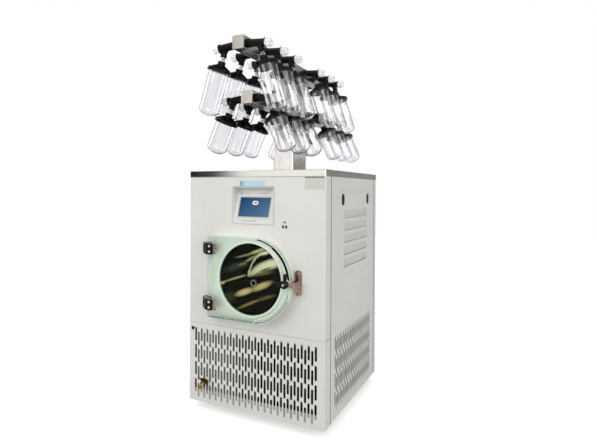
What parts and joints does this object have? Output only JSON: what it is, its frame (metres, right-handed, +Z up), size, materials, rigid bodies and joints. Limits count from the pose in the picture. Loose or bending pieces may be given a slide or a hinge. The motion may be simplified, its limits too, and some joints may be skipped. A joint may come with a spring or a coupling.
{
  "type": "freeze dryer",
  "caption": "Floor-standing manifold freeze dryer: sheet-metal cabinet with a hinged front chamber door, grilles, touch display and two flask bars on a post.",
  "frame": {"origin": "on the floor, under the middle of the cabinet", "axes": "+Z up, +Y to the back, +X to the right as seen from the front; the chamber door faces -Y"},
  "size_m": [0.68, 0.9814, 1.6355],
  "materials": {
    "casing_paint": "off-white powder coat, satin",
    "worktop_steel": "stainless sheet, bright",
    "black_rubber": "black moulded rubber",
    "screen_glass": "display glass, lit blue",
    "black_plastic": "black moulded plastic",
    "white_plastic": "white sheet plastic",
    "drum_steel": "polished stainless",
    "copper_tube": "soft copper tube",
    "pale_silicone": "pale silicone",
    "door_acrylic": "clear cast acrylic, faint green at its edges",
    "black_enamel": "black gloss enamel",
    "pin_steel": "ground steel",
    "bright_steel": "polished stainless",
    "valve_brass": "turned brass",
    "clear_plastic": "clear moulded plastic",
    "flask_glass": "blown borosilicate glass",
    "fin_aluminium": "plain aluminium fins",
    "knob_plastic": "translucent white plastic"
  },
  "bodies": {
    "cabinet": {"frame": "casing_paint", "worktop": "worktop_steel", "front_panel": "casing_paint", "grille_panel": "casing_paint", "right_side_panel": "casing_paint", "left_side_panel": "casing_paint", "rear_panel": "casing_paint", "levelling_feet": "black_rubber", "display_housing": "casing_paint", "touch_screen": "screen_glass", "chamber_flange": "white_plastic", "condenser_chamber": "drum_steel", "evaporator_coil": "copper_tube", "door_seals": "pale_silicone", "hinge_brackets": "black_enamel", "hinge_pins": "pin_steel", "latch_keeper": "bright_steel", "drain_valve_body": "valve_brass", "manifold_post": "bright_steel", "manifold_bars": "bright_steel", "valve_bodies": "black_rubber", "flask_adapters": "clear_plastic", "flask_lids": "black_rubber", "flasks": "flask_glass", "compressor": "black_enamel", "condenser": "fin_aluminium", "fan_motor": "black_enamel", "mains_inlet": "black_plastic", "pump_port": "bright_steel"},
    "door": {"chamber_door": "door_acrylic", "hinge_leaves": "bright_steel"},
    "latch": {"latch_lever": "black_enamel"},
    "button": {"power_button": "black_plastic"},
    "lock": {"panel_lock": "black_plastic"},
    "drain_lever": {"drain_valve_lever": "black_plastic"},
    "fan": {"condenser_fan": "black_plastic"},
    "knob_upper_left_1": {"knob_upper_left_1": "knob_plastic"},
    "knob_upper_left_2": {"knob_upper_left_2": "knob_plastic"},
    "knob_upper_left_3": {"knob_upper_left_3": "knob_plastic"},
    "knob_upper_left_4": {"knob_upper_left_4": "knob_plastic"},
    "knob_upper_left_5": {"knob_upper_left_5": "knob_plastic"},
    "knob_upper_left_6": {"knob_upper_left_6": "knob_plastic"},
    "knob_upper_right_1": {"knob_upper_right_1": "knob_plastic"},
    "knob_upper_right_2": {"knob_upper_right_2": "knob_plastic"},
    "knob_upper_right_3": {"knob_upper_right_3": "knob_plastic"},
    "knob_upper_right_4": {"knob_upper_right_4": "knob_plastic"},
    "knob_upper_right_5": {"knob_upper_right_5": "knob_plastic"},
    "knob_upper_right_6": {"knob_upper_right_6": "knob_plastic"},
    "knob_lower_left_1": {"knob_lower_left_1": "knob_plastic"},
    "knob_lower_left_2": {"knob_lower_left_2": "knob_plastic"},
    "knob_lower_left_3": {"knob_lower_left_3": "knob_plastic"},
    "knob_lower_left_4": {"knob_lower_left_4": "knob_plastic"},
    "knob_lower_left_5": {"knob_lower_left_5": "knob_plastic"},
    "knob_lower_left_6": {"knob_lower_left_6": "knob_plastic"},
    "knob_lower_right_1": {"knob_lower_right_1": "knob_plastic"},
    "knob_lower_right_2": {"knob_lower_right_2": "knob_plastic"},
    "knob_lower_right_3": {"knob_lower_right_3": "knob_plastic"},
    "knob_lower_right_4": {"knob_lower_right_4": "knob_plastic"},
    "knob_lower_right_5": {"knob_lower_right_5": "knob_plastic"},
    "knob_lower_right_6": {"knob_lower_right_6": "knob_plastic"}
  },
  "joints": [
    {"name": "door_hinge", "type": "hinge", "parent": "cabinet", "child": "door", "pos_m": [-0.216, -0.3865, 0.624], "axis": [0, 0, -1], "range_deg": [0, 110]},
    {"name": "latch_turn", "type": "hinge", "parent": "door", "child": "latch", "pos_m": [0.185, -0.4, 0.624], "axis": [0, 1, 0], "range_deg": [0, 90]},
    {"name": "button_press", "type": "slide", "parent": "cabinet", "child": "button", "axis": [0, 1, 0], "range_m": [0, 0.002], "stiffness_N_per_m": 600, "springref_m": -0.002},
    {"name": "lock_turn", "type": "hinge", "parent": "cabinet", "child": "lock", "pos_m": [-0.317, -0.35, 0.37], "axis": [0, 1, 0], "range_deg": [0, 90]},
    {"name": "drain_lever_turn", "type": "hinge", "parent": "cabinet", "child": "drain_lever", "pos_m": [-0.24, -0.376, 0.1515], "axis": [0, 0, 1], "range_deg": [0, 90]},
    {"name": "fan_spin", "type": "hinge", "parent": "cabinet", "child": "fan", "pos_m": [0.13, -0.27, 0.187], "axis": [0, 1, 0], "continuous": true},
    {"name": "knob_turn_upper_left_1", "type": "hinge", "parent": "cabinet", "child": "knob_upper_left_1", "pos_m": [-0.0275, -0.43875, 1.608], "axis": [-0.9962, 0, -0.0872], "range_deg": [0, 180]},
    {"name": "knob_turn_upper_left_2", "type": "hinge", "parent": "cabinet", "child": "knob_upper_left_2", "pos_m": [-0.0275, -0.30375, 1.608], "axis": [-0.9962, 0, -0.0872], "range_deg": [0, 180]},
    {"name": "knob_turn_upper_left_3", "type": "hinge", "parent": "cabinet", "child": "knob_upper_left_3", "pos_m": [-0.0275, -0.16875, 1.608], "axis": [-0.9962, 0, -0.0872], "range_deg": [0, 180]},
    {"name": "knob_turn_upper_left_4", "type": "hinge", "parent": "cabinet", "child": "knob_upper_left_4", "pos_m": [-0.0275, 0.10125, 1.608], "axis": [-0.9962, 0, -0.0872], "range_deg": [0, 180]},
    {"name": "knob_turn_upper_left_5", "type": "hinge", "parent": "cabinet", "child": "knob_upper_left_5", "pos_m": [-0.0275, 0.23625, 1.608], "axis": [-0.9962, 0, -0.0872], "range_deg": [0, 180]},
    {"name": "knob_turn_upper_left_6", "type": "hinge", "parent": "cabinet", "child": "knob_upper_left_6", "pos_m": [-0.0275, 0.37125, 1.608], "axis": [-0.9962, 0, -0.0872], "range_deg": [0, 180]},
    {"name": "knob_turn_upper_right_1", "type": "hinge", "parent": "cabinet", "child": "knob_upper_right_1", "pos_m": [0.0275, -0.43875, 1.608], "axis": [0.9962, 0, -0.0872], "range_deg": [0, 180]},
    {"name": "knob_turn_upper_right_2", "type": "hinge", "parent": "cabinet", "child": "knob_upper_right_2", "pos_m": [0.0275, -0.30375, 1.608], "axis": [0.9962, 0, -0.0872], "range_deg": [0, 180]},
    {"name": "knob_turn_upper_right_3", "type": "hinge", "parent": "cabinet", "child": "knob_upper_right_3", "pos_m": [0.0275, -0.16875, 1.608], "axis": [0.9962, 0, -0.0872], "range_deg": [0, 180]},
    {"name": "knob_turn_upper_right_4", "type": "hinge", "parent": "cabinet", "child": "knob_upper_right_4", "pos_m": [0.0275, 0.10125, 1.608], "axis": [0.9962, 0, -0.0872], "range_deg": [0, 180]},
    {"name": "knob_turn_upper_right_5", "type": "hinge", "parent": "cabinet", "child": "knob_upper_right_5", "pos_m": [0.0275, 0.23625, 1.608], "axis": [0.9962, 0, -0.0872], "range_deg": [0, 180]},
    {"name": "knob_turn_upper_right_6", "type": "hinge", "parent": "cabinet", "child": "knob_upper_right_6", "pos_m": [0.0275, 0.37125, 1.608], "axis": [0.9962, 0, -0.0872], "range_deg": [0, 180]},
    {"name": "knob_turn_lower_left_1", "type": "hinge", "parent": "cabinet", "child": "knob_lower_left_1", "pos_m": [-0.0275, -0.37125, 1.397], "axis": [-0.9962, 0, -0.0872], "range_deg": [0, 180]},
    {"name": "knob_turn_lower_left_2", "type": "hinge", "parent": "cabinet", "child": "knob_lower_left_2", "pos_m": [-0.0275, -0.23625, 1.397], "axis": [-0.9962, 0, -0.0872], "range_deg": [0, 180]},
    {"name": "knob_turn_lower_left_3", "type": "hinge", "parent": "cabinet", "child": "knob_lower_left_3", "pos_m": [-0.0275, -0.10125, 1.397], "axis": [-0.9962, 0, -0.0872], "range_deg": [0, 180]},
    {"name": "knob_turn_lower_left_4", "type": "hinge", "parent": "cabinet", "child": "knob_lower_left_4", "pos_m": [-0.0275, 0.16875, 1.397], "axis": [-0.9962, 0, -0.0872], "range_deg": [0, 180]},
    {"name": "knob_turn_lower_left_5", "type": "hinge", "parent": "cabinet", "child": "knob_lower_left_5", "pos_m": [-0.0275, 0.30375, 1.397], "axis": [-0.9962, 0, -0.0872], "range_deg": [0, 180]},
    {"name": "knob_turn_lower_left_6", "type": "hinge", "parent": "cabinet", "child": "knob_lower_left_6", "pos_m": [-0.0275, 0.43875, 1.397], "axis": [-0.9962, 0, -0.0872], "range_deg": [0, 180]},
    {"name": "knob_turn_lower_right_1", "type": "hinge", "parent": "cabinet", "child": "knob_lower_right_1", "pos_m": [0.0275, -0.37125, 1.397], "axis": [0.9962, 0, -0.0872], "range_deg": [0, 180]},
    {"name": "knob_turn_lower_right_2", "type": "hinge", "parent": "cabinet", "child": "knob_lower_right_2", "pos_m": [0.0275, -0.23625, 1.397], "axis": [0.9962, 0, -0.0872], "range_deg": [0, 180]},
    {"name": "knob_turn_lower_right_3", "type": "hinge", "parent": "cabinet", "child": "knob_lower_right_3", "pos_m": [0.0275, -0.10125, 1.397], "axis": [0.9962, 0, -0.0872], "range_deg": [0, 180]},
    {"name": "knob_turn_lower_right_4", "type": "hinge", "parent": "cabinet", "child": "knob_lower_right_4", "pos_m": [0.0275, 0.16875, 1.397], "axis": [0.9962, 0, -0.0872], "range_deg": [0, 180]},
    {"name": "knob_turn_lower_right_5", "type": "hinge", "parent": "cabinet", "child": "knob_lower_right_5", "pos_m": [0.0275, 0.30375, 1.397], "axis": [0.9962, 0, -0.0872], "range_deg": [0, 180]},
    {"name": "knob_turn_lower_right_6", "type": "hinge", "parent": "cabinet", "child": "knob_lower_right_6", "pos_m": [0.0275, 0.43875, 1.397], "axis": [0.9962, 0, -0.0872], "range_deg": [0, 180]}
  ]
}
